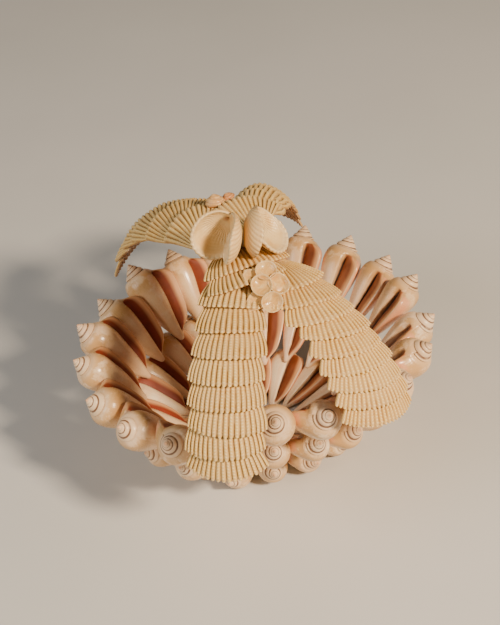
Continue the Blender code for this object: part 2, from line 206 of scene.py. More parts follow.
def reckon(tree, how, first, second=0.5, third=0.5):
    return feedAll(tree, addNode(tree, "Math", operation=how), {0: first, 1: second, 2: third})[0]


def times(tree, first, second):
    return reckon(tree, "MULTIPLY", first, second)


def plus(tree, first, second):
    return reckon(tree, "ADD", first, second)


def spread(tree, value, low, high, toLow=0.0, toHigh=1.0):
    # A soft step from toLow, where value is low, to toHigh, where it is high.
    return feedAll(tree, addNode(tree, "MapRange", interpolation_type="SMOOTHSTEP"), {
        "Value": value, "From Min": low, "From Max": high, "To Min": toLow, "To Max": toHigh})["Result"]


def colourOf(value):
    return value if isinstance(value, bpy.types.NodeSocket) else (*value, 1.0)


def blend(tree, share, first, second):
    made = addNode(tree, "Mix", data_type="RGBA")
    return feedAll(tree, made, {0: share, 6: colourOf(first), 7: colourOf(second)})[2]


def ramp(tree, share, stops):
    made = addNode(tree, "ValToRGB")
    line = made.color_ramp
    while len(line.elements) < len(stops):
        line.elements.new(0.5)
    for element, (at, colour) in zip(line.elements, stops):
        element.position = at
        element.color = (*colour, 1.0)
    return feedAll(tree, made, {0: share})[0]


def newGroup(name, inputs, outputs):
    made = bpy.data.node_groups.new(name, "ShaderNodeTree")
    for label, kind, value in inputs:
        socket = made.interface.new_socket(label, in_out="INPUT", socket_type="NodeSocket" + kind)
        if value is not None:
            socket.default_value = value
    for label, kind in outputs:
        made.interface.new_socket(label, in_out="OUTPUT", socket_type="NodeSocket" + kind)
    return made, made.nodes.new("NodeGroupInput").outputs, made.nodes.new("NodeGroupOutput").inputs


def useGroup(tree, group, **values):
    return feedAll(tree, addNode(tree, "Group", node_tree=group), values)


def makeStainGroup():
    # Blotches left by water, glue and age: a mask that is strong where two noises meet.
    group, given, result = newGroup(
        "ageStain", (("Place", "Vector", None), ("Size", "Float", 90.0), ("Amount", "Float", 0.5)),
        (("Mask", "Float"), ("Fine", "Float")))
    wide = speckle(group, given["Size"], 4.0, 0.6, given["Place"], 0.4)
    small = speckle(group, 900.0, 3.0, 0.6, given["Place"])
    edge = reckon(group, "SUBTRACT", 0.92, times(group, given["Amount"], 0.5))
    both = plus(group, times(group, wide, 1.15), times(group, small, 0.25))
    group.links.new(spread(group, both, edge, plus(group, edge, 0.16)), result["Mask"])
    group.links.new(small, result["Fine"])
    return group


def makeGrowthGroup():
    # Growth lines: thin ridges that run with the edge of the shell, closer in some places.
    group, given, result = newGroup(
        "growthLines", (("Along", "Float", 0.0), ("Place", "Vector", None), ("Count", "Float", 40.0)),
        (("Lines", "Float"), ("Bands", "Float")))
    drift = times(group, speckle(group, 60.0, 2.0, 0.5, given["Place"]), 0.05)
    track = plus(group, given["Along"], drift)
    fast = reckon(group, "SINE", times(group, times(group, track, given["Count"]), 2.0 * math.pi))
    band = feedAll(group, addNode(group, "TexNoise", noise_dimensions="1D"),
                   {"W": times(group, track, 14.0), "Scale": 1.0, "Detail": 4.0})
    group.links.new(reckon(group, "MULTIPLY_ADD", fast, 0.5, 0.5), result["Lines"])
    group.links.new(band["Fac"], result["Bands"])
    return group


stainGroup = makeStainGroup()
growthGroup = makeGrowthGroup()


def newMaterial(name):
    made = bpy.data.materials.new(name)
    made.use_nodes = True
    return made, made.node_tree, made.node_tree.nodes["Principled BSDF"].inputs


def coloured(tree, shader, colour, rough):
    feed(tree, shader["Base Color"], colour)
    feed(tree, shader["Roughness"], rough)


def bumped(tree, shader, height, strength, distance):
    made = addNode(tree, "Bump")
    values = {"Strength": strength, "Distance": distance, "Height": height}
    feed(tree, shader["Normal"], feedAll(tree, made, values)["Normal"])


# Conchs. Local z runs to the spire, local y to the mouth, and the lip lies at minus x.

conch = {
    "rim": {"length": 50.0, "body": 10.0, "lip": 7.1, "ring": 84.75, "firstBlank": 0},
    "middle": {"length": 43.0, "body": 8.3, "lip": 6.2, "ring": 67.0, "firstBlank": 2},
    "base": {"length": 42.0, "body": 8.1, "lip": 5.8, "ring": 46.75, "firstBlank": 4},
    "shoulder": 0.73, "oval": 0.06,
    # Along the shell, from its foot at 0 to its tip at 1: how wide it is, how far the lip stands out
    # and how deep the slit goes, each as a share of its full measure.
    "width": ((0.0, 0.0), (0.003, 0.07), (0.012, 0.125), (0.03, 0.17), (0.06, 0.225), (0.12, 0.33),
              (0.26, 0.54), (0.42, 0.755), (0.55, 0.90), (0.65, 0.985), (0.70, 1.0), (0.745, 0.985),
              (0.785, 0.93), (0.815, 0.84), (0.845, 0.71), (0.865, 0.61), (0.89, 0.505), (0.92, 0.38),
              (0.95, 0.25), (0.975, 0.135), (0.99, 0.06), (1.0, 0.0)),
    "lipRise": ((0.0, 0.0), (0.06, 0.0), (0.095, 0.10), (0.125, 0.34), (0.16, 0.62), (0.21, 0.83),
                (0.30, 0.95), (0.45, 1.0), (0.60, 0.98), (0.67, 0.90), (0.72, 0.74), (0.755, 0.46),
                (0.78, 0.18), (0.80, 0.0), (1.0, 0.0)),
    "slit": ((0.0, 0.0), (0.05, 0.0), (0.09, 0.14), (0.15, 0.36), (0.24, 0.50), (0.42, 0.56),
             (0.60, 0.54), (0.70, 0.42), (0.75, 0.22), (0.78, 0.06), (0.80, 0.0), (1.0, 0.0)),
    # Stations along it: the body, the top of its shoulder, then the spire by equal parts of a turn.
    "bodyStations": (0.0, 0.0015, 0.004, 0.009, 0.018, 0.03, 0.047, 0.07, 0.09, 0.11, 0.13, 0.15, 0.175,
                     0.205, 0.24, 0.28, 0.32, 0.36, 0.40, 0.44, 0.48, 0.52, 0.56, 0.60, 0.635, 0.665,
                     0.69, 0.71, 0.73, 0.748, 0.764, 0.778, 0.79, 0.80, 0.81, 0.82, 0.83, 0.838),
    "shoulderStations": 9, "spireStations": 48, "spireEnd": 0.006,
    # Columns round it, and the angles of the lip, the bottom of the slit and the columella.
    "skinColumns": 40, "faceColumns": 9, "wallColumns": (0.2, 0.45, 0.7, 0.9, 1.0),
    "lipAngle": -213.0, "pitAngle": -232.0, "columella": -250.0, "flareFrom": -146.0,
    # The edge of the lip: degrees back from its angle, and share of its height.
    "lipEdge": ((0.9, 0.996), (1.9, 0.975), (2.7, 0.935)),
    # How fast the whorls grow, where the first suture is, and how far shells differ.
    "growth": (1.64, 1.78), "sutureAt": 0.862, "sutureStray": 0.004, "whorlPitch": 0.17, "whorlDepth": 0.17,
    "bodySpiral": 0.05, "lipSpread": (0.95, 1.02), "bend": 0.5, "dent": 0.4, "wave": 0.32, "ragged": 0.55,
    "blanks": 5, "seed": 41,
}

# Azimuth, tilt, roll, height and size of each conch, as in the part.
conchPlaces = {
    "rim": (
        (-83.4, 46.72, -0.23, 71.4, 0.976), (-66.45, 49.12, -4.79, 69.6, 1.004),
        (-49.39, 46.78, -1.9, 62.6, 0.988), (-32.29, 44.33, -3.6, 61.6, 1.009),
        (-14.99, 42.67, -4.09, 58.2, 1.011), (1.89, 46.83, -0.81, 64.0, 0.961),
        (18.3, 44.86, -0.82, 60.8, 0.956), (35.31, 46.09, 3.66, 61.2, 1.03),
        (52.5, 46.89, 0.55, 62.8, 0.978), (69.23, 46.07, 4.0, 60.8, 0.976),
        (86.53, 47.1, 2.99, 63.2, 1.045), (104.01, 44.48, 4.87, 60.0, 0.997),
        (121.37, 46.51, 0.4, 63.2, 1.03), (138.73, 44.72, -6.72, 58.8, 0.998),
        (155.94, 47.18, 3.05, 62.8, 1.013), (172.9, 46.89, 4.5, 62.6, 0.969),
        (189.85, 42.99, 3.67, 58.8, 1.012), (207.36, 43.36, -1.03, 60.0, 1.033),
        (224.78, 44.57, 0.99, 61.4, 1.002), (242.11, 49.77, -6.04, 70.2, 1.022),
        (259.55, 48.42, 2.64, 76.2, 1.015),
    ),
    "middle": (
        (-82.0, 43.08, 2.76, 39.2, 0.996), (-63.11, 36.51, 0.91, 35.4, 1.005),
        (-43.82, 30.56, -4.59, 31.6, 1.038), (-24.61, 30.53, -5.79, 30.2, 0.997),
        (-5.75, 27.8, -4.95, 27.2, 1.001), (13.21, 28.45, -8.02, 30.8, 1.008),
        (31.9, 28.71, 1.73, 29.0, 0.972), (50.52, 27.65, -3.39, 30.4, 1.001),
        (69.52, 29.82, 2.85, 28.8, 1.012), (88.76, 29.7, -3.59, 29.2, 1.026),
        (107.55, 31.71, 4.41, 29.6, 0.963), (125.91, 30.1, 2.86, 31.0, 0.982),
        (144.28, 30.7, -8.99, 28.0, 0.963), (163.07, 30.0, -6.06, 29.6, 1.028),
        (182.38, 30.81, 3.74, 31.4, 1.017), (201.04, 30.0, -2.42, 26.8, 0.959),
        (219.94, 31.1, 4.72, 30.0, 1.043), (239.62, 39.69, -3.44, 35.4, 1.042),
        (259.03, 44.55, -7.98, 42.0, 1.014),
    ),
    "base": (
        (-76.0, 20.2, -6.07, 11.4, 1.011), (-50.13, 15.49, -5.98, 9.1, 1.022),
        (-24.06, 9.81, 4.75, 6.8, 1.027), (2.24, 10.58, 3.21, 7.1, 1.04), (28.48, 10.9, -4.95, 7.4, 1.022),
        (54.7, 14.08, 4.46, 8.4, 1.038), (80.09, 13.33, -1.45, 7.4, 0.958),
        (104.97, 10.3, 0.49, 6.9, 0.997), (130.9, 13.49, -6.13, 8.2, 1.04),
        (157.03, 10.19, 4.17, 6.8, 1.013), (183.12, 12.59, 0.67, 7.7, 1.036),
        (208.59, 10.61, 4.53, 6.5, 0.965), (233.56, 13.28, 3.51, 7.7, 0.997),
        (258.69, 22.18, -4.82, 11.9, 0.977),
    ),
}
cadShift = Matrix.Translation((-0.00017, -0.00068, 0.0))  # The part is centred on its box.


def conchColumns():
    # Kind of column, angle round the shell and share, from the columella round the back to the
    # lip, over its edge, down its inner face and up out of the slit to the columella again.
    columns = []
    count = conch["skinColumns"]
    first, lip, flareFrom = conch["columella"] + 360.0, conch["lipAngle"], conch["flareFrom"]
    for j in range(count):
        angle = first + (lip - first) * j / (count - 1)
        flare = max(0.0, (flareFrom - angle) / (flareFrom - lip))
        columns.append(("skin", angle, flare ** 1.5))
    for back, share in conch["lipEdge"]:
        columns.append(("edge", lip - back, share))
    start, pit, end = lip - conch["lipEdge"][-1][0], conch["pitAngle"], conch["columella"]
    for k in range(1, conch["faceColumns"] + 1):
        share = k / conch["faceColumns"]
        columns.append(("face", mix(start, pit, share), share))
    for share in conch["wallColumns"]:
        columns.append(("wall", mix(pit, end, share), share))
    return columns


def conchStations(first):
    stations = list(conch["bodyStations"])
    end = conch["spireEnd"]
    low, high = stations[-1], 1.0 - first + end
    count = conch["shoulderStations"]
    stations += [mix(low, high, (k + 1) / count) for k in range(count)]
    left = 1.0 - stations[-1]
    count = conch["spireStations"]
    stations += [1.0 - left * (end / left) ** ((k + 1) / count) for k in range(count)]
    return stations + [0.9965, 0.9985, 1.0]


def onCircle(angle, radius):
    a = math.radians(angle)
    return Vector((radius * math.cos(a), radius * math.sin(a)))


def makeConch(kind, number):
    # One shell near the origin, with its own growth, lip and small dents.
    sizes = conch[kind]
    chance = random.Random(conch["seed"] + number * 7 + len(kind) * 101)
    growth = chance.uniform(*conch["growth"])
    lipSize = chance.uniform(*conch["lipSpread"])
    bend = chance.uniform(-conch["bend"], conch["bend"])
    offset = chance.uniform(0.0, 60.0)
    first = 1.0 - conch["sutureAt"] - chance.uniform(-conch["sutureStray"], conch["sutureStray"])
    length, body, lip = sizes["length"], sizes["body"], sizes["lip"] * lipSize
    columns = conchColumns()
    stations = conchStations(first)
    turn = math.log(growth)
    lipAngle, pitAngle, columella = conch["lipAngle"], conch["pitAngle"], conch["columella"]
    edgeBack, edgeShare = conch["lipEdge"][-1]

    def pointAt(i, j):
        sort, angle, share = columns[i]
        t = stations[j]
        grown = (angle - lipAngle) / 360.0 + (0.0 if sort == "skin" else 1.0)
        left = max(0.0006, 1.0 - t)
        # The whorls: a suture wherever the phase is whole, wound closer below the last one.
        if left < first:
            phase = math.log(left / first) / turn + grown
        else:
            phase = (left - first) / (first * conch["whorlPitch"]) + grown
        if phase < 1.0:
            part = phase - math.floor(phase)
            face = math.sin(math.pi * part ** 0.72) ** 0.6
        else:
            face = ease(phase, 1.0, 2.0)
        fine = ease(left * length, 0.25, 1.1)
        whorl = 1.0 + conch["whorlDepth"] * (face - 1.0) * fine * ease(t, 0.72, 0.80)
        # The body spirals out towards the lip.
        openShare = 1.0 - ease(t, 0.775, 0.84)
        spiral = 1.0 + openShare * conch["bodySpiral"] * (0.5 - grown)
        wide = curveAt(conch["width"], t)
        slit, rise = curveAt(conch["slit"], t), curveAt(conch["lipRise"], t)
        r = body * wide * whorl * spiral
        hollow = ease(slit + rise, 0.0, 0.3)
        if sort in ("skin", "edge"):
            p = onCircle(angle, r + lip * rise * share)
        else:
            # The inner face dips towards the slit, and the far wall is a little ragged.
            rim = onCircle(lipAngle - edgeBack, r + lip * rise * edgeShare)
            pit = onCircle(pitAngle, r * (1.0 - slit))
            swell = math.sin(math.pi * share)
            if sort == "face":
                flat = rim.lerp(pit, share)
                across = (pit - rim).normalized()
                wave = conch["wave"] * math.sin(t * 17.0 + offset) * hollow
                dip = (0.5 - wave) * swell * hollow
                flat += Vector((across.y, -across.x)) * -dip
            else:
                flat = pit.lerp(onCircle(columella, r), share ** 0.8)
                stray = noise.noise((offset, t * 19.0, 3.0)) * conch["ragged"]
                flat += Vector((stray * hollow * swell, 0.0))
            p = onCircle(angle, r).lerp(flat, hollow)
        a = math.atan2(p.y, p.x)
        z = (t - conch["shoulder"]) * length
        dent = noise.noise((p.x * 0.09 + offset, p.y * 0.09, z * 0.07)) * conch["dent"] * min(1.0, r / 6.0)
        x = p.x + dent * math.cos(a) + bend * ease(0.5 - t, 0.0, 0.5)
        y = p.y + dent * math.sin(a)
        # dark marks the bottom of the slit, where near-black painted shade goes.
        lipEdge = mouth = dark = 0.0
        if sort == "edge":
            lipEdge = ease(rise, 0.05, 0.3)
            mouth = lipEdge * (1.0 - ease(share, 0.95, 0.99))
        elif sort == "face":
            mouth = hollow
            lipEdge = (1.0 - ease(share, 0.08, 0.34)) * hollow
            dark = ease(share, 0.80, 1.0) * ease(slit, 0.08, 0.4)
        elif sort == "wall":
            mouth = hollow * (1.0 - ease(share, 0.12, 0.36))
            dark = (1.0 - ease(share, 0.06, 0.24)) * ease(slit, 0.08, 0.4)
        flare = share * ease(rise, 0.1, 0.6) if sort == "skin" else 0.0
        seam = ease(left * length, 0.9, 3.0) * (1.0 - ease(phase, 1.2, 1.5))
        return (x, y, z), {
            "mouth": mouth, "lipEdge": lipEdge, "dark": dark, "along": t, "flare": flare,
            "round": (angle - columella) / 360.0, "seam": seam, "tip": ease(t, 0.972, 0.992),
            "turnSine": math.sin(2.0 * math.pi * phase), "turnCosine": math.cos(2.0 * math.pi * phase),
        }

    made = shapedGrid("%sBlank%d" % (kind, number), len(columns) - 1, len(stations) - 1, pointAt)
    weld(made, mergeGap)
    return made


def conchMatrix(radius, azimuth, tilt, roll, height, size):
    a, t = math.radians(azimuth), math.radians(tilt)
    out = Vector((math.cos(a), math.sin(a), 0.0))
    side = Vector((-math.sin(a), math.cos(a), 0.0))
    up = Vector((0.0, 0.0, 1.0))
    axis = out * math.cos(t) + up * math.sin(t)
    mouth = up * math.cos(t) - out * math.sin(t)
    turn = Matrix((side, mouth, axis)).transposed().to_4x4()
    reach = radius * (1.0 - conch["oval"] * math.sin(a) ** 2)
    where = Matrix.Translation((out * reach + up * height) * millimetre)
    return cadShift @ where @ turn @ Matrix.Rotation(math.radians(roll), 4, "Z") @ Matrix.Scale(size, 4)


def conchMaterial():
    look, tree, shader = newMaterial("conchShell")
    spot = place(tree)
    tone, blush, pitted, around, turnSine, turnCosine = attributes(
        tree, "tone", "blush", "pitted", "round", "turnSine", "turnCosine")
    along, mouth, flare, lipEdge, dark, tip, seam = attributes(
        tree, "along", "mouth", "flare", "lipEdge", "dark", "tip", "seam")
    # The back: cream, rosier on some shells, with soft bands, chalk and tan stains.
    cream = ramp(tree, tone, ((0.0, (0.80, 0.55, 0.30)), (0.35, (0.88, 0.69, 0.43)),
                              (0.65, (0.86, 0.60, 0.36)), (1.0, (0.92, 0.78, 0.54))))
    lines = useGroup(tree, growthGroup, Along=around, Place=spot, Count=46.0)
    banded = blend(tree, spread(tree, lines["Bands"], 0.35, 0.7, 0.0, 0.4), cream, (0.72, 0.43, 0.24))
    cloud = speckle(tree, 70.0, 3.0, 0.6, spot, 0.6)
    rosy = blend(tree, spread(tree, cloud, 0.45, 0.75, 0.0, 0.42), banded, (0.84, 0.46, 0.26))
    chalky = blend(tree, spread(tree, speckle(tree, 130.0, 4.0, 0.65, spot), 0.52, 0.72, 0.0, 0.5), rosy,
                   (0.88, 0.74, 0.56))
    spire = spread(tree, along, 0.76, 0.86)
    paler = blend(tree, times(tree, spire, 0.45), chalky, (0.82, 0.64, 0.46))
    stains = useGroup(tree, stainGroup, Place=spot, Size=85.0, Amount=0.72)
    band = times(tree, spread(tree, along, 0.55, 0.74), spread(tree, along, 0.9, 0.78))
    tan = times(tree, stains["Mask"], reckon(tree, "MULTIPLY_ADD", band, 0.8, 0.1))
    stained = blend(tree, tan, paler, (0.60, 0.34, 0.12))
    # Some spires keep brown flecks along the whorls.
    fleck = spread(tree, speckle(tree, 420.0, 2.0, 0.5, spot), 0.56, 0.64)
    speckled = times(tree, times(tree, fleck, spire), spread(tree, tone, 0.86, 0.95, 0.0, 0.5))
    flecked = blend(tree, speckled, stained, (0.34, 0.20, 0.11))
    # The suture is a thin brown line that winds up the spire.
    turned = reckon(tree, "ARCTAN2", turnSine, turnCosine)
    near = spread(tree, reckon(tree, "ABSOLUTE", turned), 1.0, 0.45)
    broken = spread(tree, speckle(tree, 260.0, 2.0, 0.5, spot), 0.3, 0.5, 0.55, 0.95)
    line = times(tree, times(tree, near, broken), seam)
    sutured = blend(tree, line, flecked, (0.16, 0.062, 0.025))
    tipped = blend(tree, times(tree, tip, 0.75), sutured, (0.66, 0.36, 0.20))
    low = blend(tree, spread(tree, along, 0.14, 0.0, 0.0, 0.5), tipped, (0.78, 0.54, 0.36))
    peach = blend(tree, spread(tree, flare, 0.2, 0.7, 0.0, 0.85), low, (0.78, 0.36, 0.19))
    # The mouth: brick red, brown orange or peach, with near-black painted shade down in the slit.
    enamel = ramp(tree, blush, ((0.0, (0.26, 0.030, 0.005)), (0.35, (0.25, 0.042, 0.007)),
                                (0.65, (0.24, 0.062, 0.014)), (1.0, (0.38, 0.13, 0.05))))
    streak = speckle(tree, 160.0, 3.0, 0.5, spot, 0.3)
    uneven = blend(tree, spread(tree, streak, 0.35, 0.75, 0.0, 0.5), enamel, (0.12, 0.018, 0.004))
    # Painted shade in the slit, ragged at its edge and scaled per shell.
    torn = reckon(tree, "MULTIPLY_ADD", speckle(tree, 330.0, 3.0, 0.6, spot), 0.9, -0.45)
    shade = times(tree, spread(tree, plus(tree, dark, torn), 0.30, 0.55), pitted)
    slitShaded = blend(tree, shade, uneven, (0.022, 0.010, 0.008))
    rim = blend(tree, lipEdge, slitShaded, (0.70, 0.36, 0.16))
    worn = reckon(tree, "MULTIPLY_ADD", stains["Fine"], 0.22, 0.18)
    dull = plus(tree, worn, times(tree, spire, 0.16))
    coloured(tree, shader, blend(tree, mouth, peach, rim), plus(tree, dull, times(tree, mouth, 0.30)))
    feed(tree, shader["Coat Weight"], spread(tree, mouth, 0.0, 1.0, 0.25, 0.0))
    shader["Coat Roughness"].default_value = 0.22
    height = plus(tree, times(tree, lines["Lines"], 0.35), times(tree, lines["Bands"], 0.9))
    height = reckon(tree, "SUBTRACT", height, times(tree, line, 1.2))
    bumped(tree, shader, height, 0.35, 0.00018)
    return look


def cutFlat(item):
    # What would reach under the floor is ground away, just above it.
    editWhole(item, bpy.ops.mesh.bisect, plane_co=(0.0, 0.0, 0.00002), plane_no=(0.0, 0.0, -1.0),
              use_fill=True, clear_outer=True)


conchLook = conchMaterial()


def placeConchs():
    chance = random.Random(97)
    for kind, rows in conchPlaces.items():
        blanks = [makeConch(kind, k) for k in range(conch["blanks"])]
        for k, row in enumerate(rows):
            name = "%s_%02d" % (kind, k + 1)
            blank = blanks[(k * 3 + conch[kind]["firstBlank"]) % len(blanks)]
            shell = copyOf(blank, "shell_" + name, conchMatrix(conch[kind]["ring"], *row))
            # Mouths are brick red on the left and browner at the back; their slits carry painted shade, most
            # on the right.
            facing = math.radians(row[0] + 14.0)
            blush = 0.5 + 0.42 * math.cos(facing) + chance.uniform(-0.12, 0.12)
            blush = min(1.0, max(0.0, blush))
            # How strong the painted shade in each slit is, greatest on the right of the ring.
            markWhole(shell, blush=blush, pitted=0.35 + 0.65 * ease(blush, 0.45, 0.75), tone=chance.random())
            if kind == "base":
                cutFlat(shell)
            dress(shell, conchLook)
            standFor(shell, kind + "_conch", name)
        for blank in blanks:
            bpy.data.objects.remove(blank, do_unlink=True)
        print("conchs placed:", kind, len(rows))


placeConchs()


# Arks on the handle. Each lies on the arch with its margin down the slope, over the one below.

handle = {
    "top": 130.0, "foot": 55.0,
    # Each leg lays its arks from one margin angle of the arch to another. Gather draws their ribs
    # together under the ark above, and turn swings them towards the viewer's left.
    "legKeys": ("end", "azimuth", "radius", "top", "margins", "rows", "wide", "length", "proud", "sag",
                "gather", "turn", "aside"),
    "legs": (
        ("front", -115.0, 102.5, 130.0, (28.0, 82.0), 8, (34.0, 39.0), 25.0, 3.9, 0.15, 0.45, 0.0, 0.0),
        ("front", -66.0, 99.0, 129.5, (27.0, 78.0), 9, (36.0, 46.0), 25.0, 3.8, 0.13, 0.18, 17.0, -5.6),
        ("back", 113.0, 104.25, 130.0, (22.0, 80.0), 6, (42.0, 39.0), 31.0, 3.4, 0.21, 0.30, 30.0, -2.5),
        ("back", 66.0, 106.0, 129.5, (30.0, 80.0), 7, (32.0, 39.0), 25.0, 2.0, 0.36, 0.45, 0.0, 0.0),
    ),
    # End, azimuth, margin angle, width, length, how far it stands proud, turn and sideways place.
    "crown": (
        ("front", -92.0, 7.0, 32.0, 24.0, 3.2, 0.0, 0.0),
        ("front", -95.0, 16.0, 44.0, 25.0, 5.0, -8.0, -3.0),
        ("front", -99.0, 22.5, 40.0, 25.0, 7.0, -12.0, -3.0),
        ("back", 90.0, 15.5, 41.0, 29.0, 6.0, -5.0, -5.5),
    ),
    "crownRadius": 100.0, "ribStep": 2.25, "ribHeight": 1.3, "beadStep": 1.35, "beadHeight": 0.11,
    "perRib": 6, "along": 46, "thick": 1.0, "opening": 62.0, "start": 0.16, "under": -1.9, "seed": 23,
}


def archPoint(angle, radius, top):
    u = math.radians(angle)
    rise = top - handle["foot"]
    point = Vector((radius * math.sin(u), handle["foot"] + rise * math.cos(u)))
    slope = Vector((radius * math.cos(u), -rise * math.sin(u))).normalized()
    return point, Vector((-slope.y, slope.x))


def degreesPerMillimetre(angle, radius, top):
    u = math.radians(angle)
    return math.degrees(1.0 / math.hypot(radius * math.cos(u), (top - handle["foot"]) * math.sin(u)))


def makeArk(name, ark, chance):
    a = math.radians(ark["azimuth"])
    out = Vector((math.cos(a), math.sin(a), 0.0))
    side = Vector((-math.sin(a), math.cos(a), 0.0))
    wide, length, fan = ark["wide"] * chance.uniform(0.98, 1.02), ark["length"], ark["fan"]
    ribs = max(10, round(wide / handle["ribStep"]) + chance.choice((0, 0, 1)))
    turn = math.radians(ark["turn"] + chance.uniform(-3.0, 3.0))
    skew = chance.uniform(-0.08, 0.08)
    shift = ark["aside"] + chance.uniform(-0.7, 0.7)
    offset = chance.uniform(0.0, 80.0)
    nx, ny = ribs * handle["perRib"], handle["along"]
    pace = degreesPerMillimetre(ark["margin"], ark["radius"], ark["top"])
    opening, start = math.radians(handle["opening"]), handle["start"]

    def pointAt(i, j):
        across = 2.0 * i / nx - 1.0
        down = (j / ny) ** 0.62
        # The margin is an arc, shorter at the sides, and its ribs come together under the ark above.
        reachX = wide * 0.5 * math.sin(across * opening) / math.sin(opening)
        reachY = length * (1.0 - (0.16 + 0.14 * fan) * abs(across) ** 2.2)
        cell = (across + 1.0) * 0.5 * ribs
        u = abs(2.0 * (cell - math.floor(cell)) - 1.0) if i < nx else 1.0
        rib = max(0.0, 1.0 - u * u) ** 0.85
        s = start + (1.0 - start) * down
        edge = ease(down, 0.93, 1.0)
        tooth = (rib - 0.5) * edge
        close = mix(ark["gather"], 0.05, fan)
        opened = mix(math.sin(0.5 * math.pi * s) ** 0.9, s, fan)
        x = reachX * (close + (1.0 - close) * opened) + skew * wide * 0.1 * (1.0 - s) + tooth * across * 0.7
        y = reachY * s + tooth * (1.0 - 0.3 * abs(across)) - length
        bead = math.sin(2.0 * math.pi * (s * length / handle["beadStep"] + 0.2 * math.sin(cell * 5.0)))
        grow = handle["ribHeight"] * (0.35 + 0.65 * s)
        up = (rib - 0.6) * grow + handle["beadHeight"] * bead * rib * ease(s, 0.25, 0.5)
        up += 0.28 * noise.noise((x * 0.11 + offset, y * 0.11, offset))
        # Each margin stands clear of the ark below it, and turns down a little at the very edge.
        rise = mix(handle["under"], ark["proud"], s ** 1.1) + 0.35 * math.sin(math.pi * s) - 0.45 * edge ** 2
        turnedX = x * math.cos(turn) - y * math.sin(turn)
        turnedY = x * math.sin(turn) + y * math.cos(turn)
        c = max(-1.2, min(1.2, 2.0 * turnedX / wide))
        point, normal = archPoint(ark["margin"] + turnedY * pace, ark["radius"], ark["top"])
        p = point + normal * (rise + up - ark["sag"] * wide * c * c)
        spot = out * p.x + side * (turnedX + shift) + Vector((0.0, 0.0, p.y))
        return spot, {"rib": rib, "down": down, "bead": 0.5 + 0.5 * bead}

    return shapedGrid(name, nx, ny, pointAt)


def thicken(item, thick):
    # The wall grows inwards, and everything on the new skin is marked as the shell's inside.
    editWhole(item, bpy.ops.mesh.remove_doubles, threshold=mergeGap)
    count = len(item.data.vertices)
    wall = item.modifiers.new("wall", "SOLIDIFY")
    wall.thickness = thick * millimetre
    wall.offset = -1.0
    wall.use_even_offset = False
    applyAll(item)
    writeAttribute(item, "inside", [0.0] * count + [1.0] * (len(item.data.vertices) - count))
    bpy.ops.object.shade_smooth()


def faceUp(item, direction):
    # The grid is turned over where its faces look down.
    total = sum((face.normal * face.area for face in item.data.polygons), Vector())
    if total.dot(direction) < 0.0:
        editWhole(item, bpy.ops.mesh.flip_normals)


def arkMaterial():
    look, tree, shader = newMaterial("arkShell")
    spot = place(tree)
    tone, rib, inside, down, bead = attributes(tree, "tone", "rib", "inside", "down", "bead")
    cream = ramp(tree, tone, ((0.0, (0.75, 0.46, 0.10)), (0.5, (0.82, 0.56, 0.16)),
                              (1.0, (0.78, 0.50, 0.12))))
    cloud = speckle(tree, 95.0, 4.0, 0.6, spot, 0.4)
    warm = blend(tree, spread(tree, cloud, 0.42, 0.72, 0.0, 0.6), cream, (0.74, 0.46, 0.17))
    chalk = blend(tree, spread(tree, speckle(tree, 700.0, 3.0, 0.6, spot), 0.45, 0.7, 0.0, 0.4), warm,
                  (0.88, 0.66, 0.33))
    # The grooves between ribs are darker: partly the shell's own ochre, partly painted shade.
    grooveOchreAndShade = times(tree, spread(tree, rib, 0.95, 0.35), 0.9)
    grooved = blend(tree, grooveOchreAndShade, chalk, (0.36, 0.17, 0.04))
    lines = useGroup(tree, growthGroup, Along=down, Place=spot, Count=12.0)
    ringed = blend(tree, spread(tree, lines["Bands"], 0.5, 0.7, 0.0, 0.35), grooved, (0.66, 0.47, 0.25))
    stains = useGroup(tree, stainGroup, Place=spot, Size=120.0, Amount=0.62)
    stained = blend(tree, times(tree, stains["Mask"], 0.55), ringed, (0.66, 0.44, 0.17))
    # Rib crests and bead tops are paler: partly chalky wear, partly a painted highlight.
    crestWearAndHighlight = times(tree, spread(tree, rib, 0.75, 1.0), spread(tree, bead, 0.4, 1.0))
    lit = blend(tree, times(tree, crestWearAndHighlight, 0.65), stained, (0.95, 0.82, 0.52))
    within = blend(tree, spread(tree, cloud, 0.4, 0.7), (0.62, 0.38, 0.21), (0.84, 0.64, 0.44))
    worn = reckon(tree, "MULTIPLY_ADD", stains["Fine"], 0.25, 0.52)
    rough = reckon(tree, "SUBTRACT", worn, times(tree, inside, 0.12))
    coloured(tree, shader, blend(tree, inside, lit, within), rough)
    grain = speckle(tree, 1500.0, 3.0, 0.6, spot)
    height = plus(tree, times(tree, lines["Lines"], 0.4), times(tree, grain, 0.6))
    bumped(tree, shader, height, 0.4, 0.0002)
    return look


arkLook = arkMaterial()


